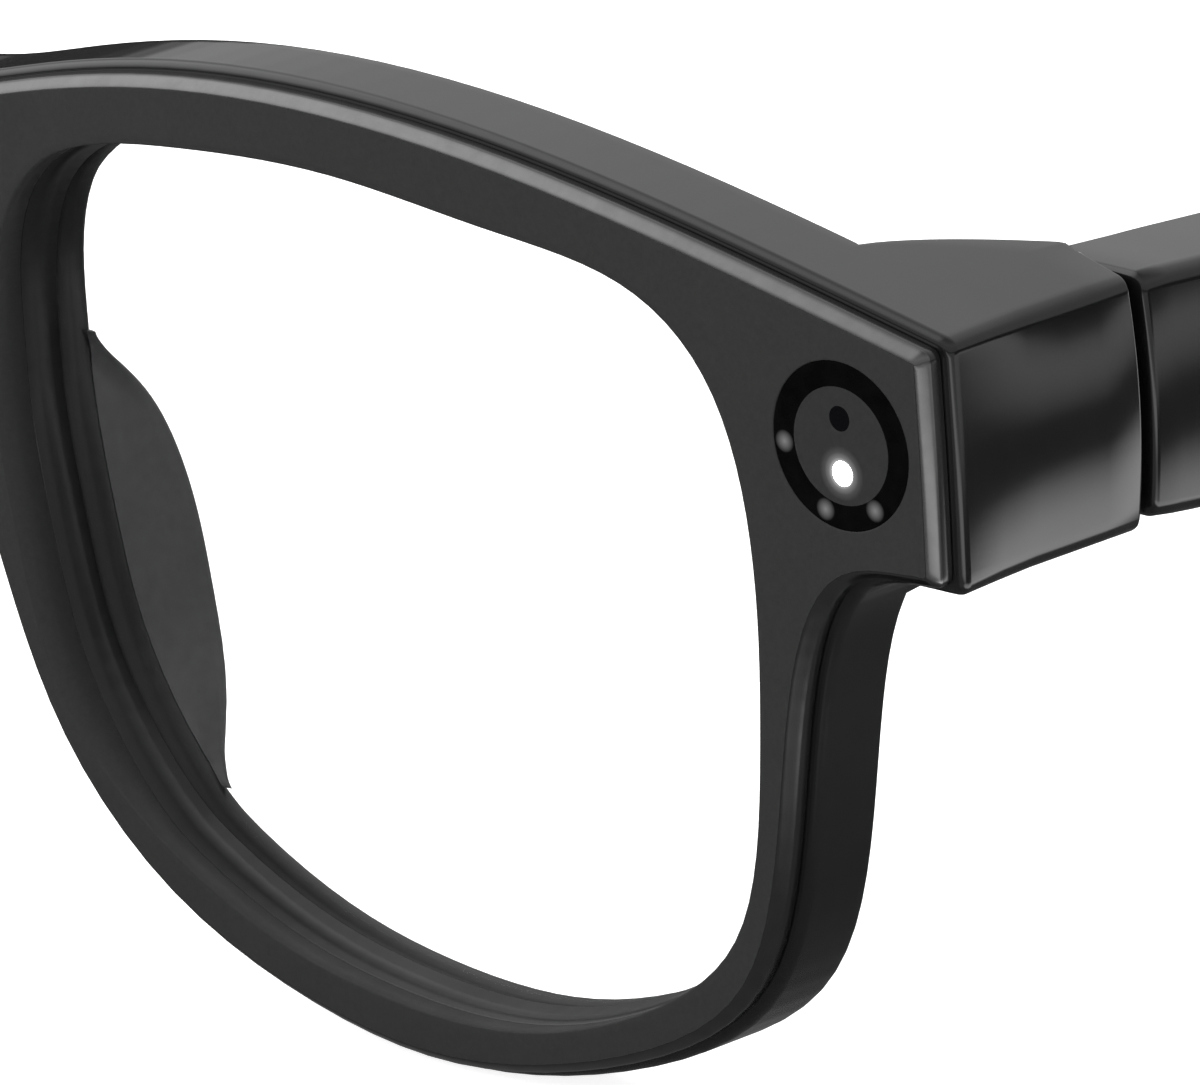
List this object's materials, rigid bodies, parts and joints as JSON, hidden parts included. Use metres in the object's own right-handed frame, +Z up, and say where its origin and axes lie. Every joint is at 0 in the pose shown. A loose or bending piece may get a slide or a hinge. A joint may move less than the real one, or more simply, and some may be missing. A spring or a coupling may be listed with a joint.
{
  "type": "smart glasses",
  "caption": "Smart glasses with a matte face plate, clear lenses, a ringed camera window, folding temples that carry the electronics, a capture button and a power slider.",
  "frame": {"origin": "middle of the footprint on the plane that the open glasses stand on", "axes": "+X towards the wearer's left, +Y from the face of the front to the temple tips, +Z up"},
  "size_m": [0.1468, 0.1616, 0.0476],
  "materials": {
    "frame_gloss": "polished black moulding with soft edges",
    "cover_satin": "polished black inner cover",
    "plate_matte": "fine matte dark grey",
    "lens_clear": "clear polished lens",
    "pad_satin": "satin dark grey moulding",
    "ring_gloss": "deep gloss black",
    "window_dark": "matte dark grey",
    "optic_glass": "dark coated glass",
    "led_white": "lit white diffuser",
    "led_diffuser": "unlit milky diffuser",
    "sensor_black": "black moulded housing",
    "board_green": "solder mask",
    "flex_amber": "polyimide film",
    "shield_steel": "pressed metal can",
    "contact_gold": "gold plated",
    "hinge_steel": "ground steel",
    "screw_steel": "dark steel",
    "battery_foil": "laminated foil pouch",
    "grille_black": "black moulded grille",
    "control_gloss": "polished black"
  },
  "bodies": {
    "front": {"front_frame": "frame_gloss", "face_plate": "plate_matte", "lens_left": "lens_clear", "lens_right": "lens_clear", "nose_pad_left": "pad_satin", "nose_pad_right": "pad_satin", "camera_ring": "ring_gloss", "camera_window": "window_dark", "camera_lens": "optic_glass", "status_led": "led_white", "camera_module": "sensor_black", "light_ring": "ring_gloss", "light_window": "window_dark", "light_sensor": "optic_glass", "light_lens": "led_diffuser", "light_module": "board_green", "front_flex": "flex_amber", "bridge_microphone": "shield_steel", "charge_contacts": "contact_gold", "hinge_front_leaf_left": "hinge_steel", "hinge_front_leaf_right": "hinge_steel", "hinge_screw_left": "screw_steel", "hinge_screw_right": "screw_steel"},
    "left_temple": {"temple_shell_left": "frame_gloss", "temple_cover_left": "cover_satin", "hinge_temple_leaf_left": "hinge_steel", "leaf_screws_left": "screw_steel", "battery": "battery_foil", "power_board": "board_green", "speaker_left": "sensor_black", "speaker_grille_left": "grille_black", "microphone_left": "shield_steel", "slider_switch": "shield_steel"},
    "right_temple": {"temple_shell_right": "frame_gloss", "temple_cover_right": "cover_satin", "hinge_temple_leaf_right": "hinge_steel", "leaf_screws_right": "screw_steel", "main_board": "board_green", "processor": "shield_steel", "speaker_right": "sensor_black", "speaker_grille_right": "grille_black", "microphone_right": "shield_steel", "touch_sensor": "flex_amber", "antenna": "contact_gold", "button_switch": "shield_steel"},
    "power_slider": {"power_slider": "control_gloss"},
    "capture_button": {"capture_button": "control_gloss"}
  },
  "joints": [
    {"name": "left_temple_fold", "type": "hinge", "parent": "front", "child": "left_temple", "pos_m": [0.0664, -0.06364, 0.0346], "axis": [0, 0, 1], "range_deg": [0, 90]},
    {"name": "right_temple_fold", "type": "hinge", "parent": "front", "child": "right_temple", "pos_m": [-0.0664, -0.06364, 0.0346], "axis": [0, 0, -1], "range_deg": [0, 74]},
    {"name": "power_slide", "type": "slide", "parent": "left_temple", "child": "power_slider", "axis": [0, 0.9965, -0.0837], "range_m": [0, 0.002]},
    {"name": "capture_press", "type": "slide", "parent": "right_temple", "child": "capture_button", "axis": [0, -0.0837, -0.9965], "range_m": [0, 0.0004], "stiffness_N_per_m": 1000}
  ]
}
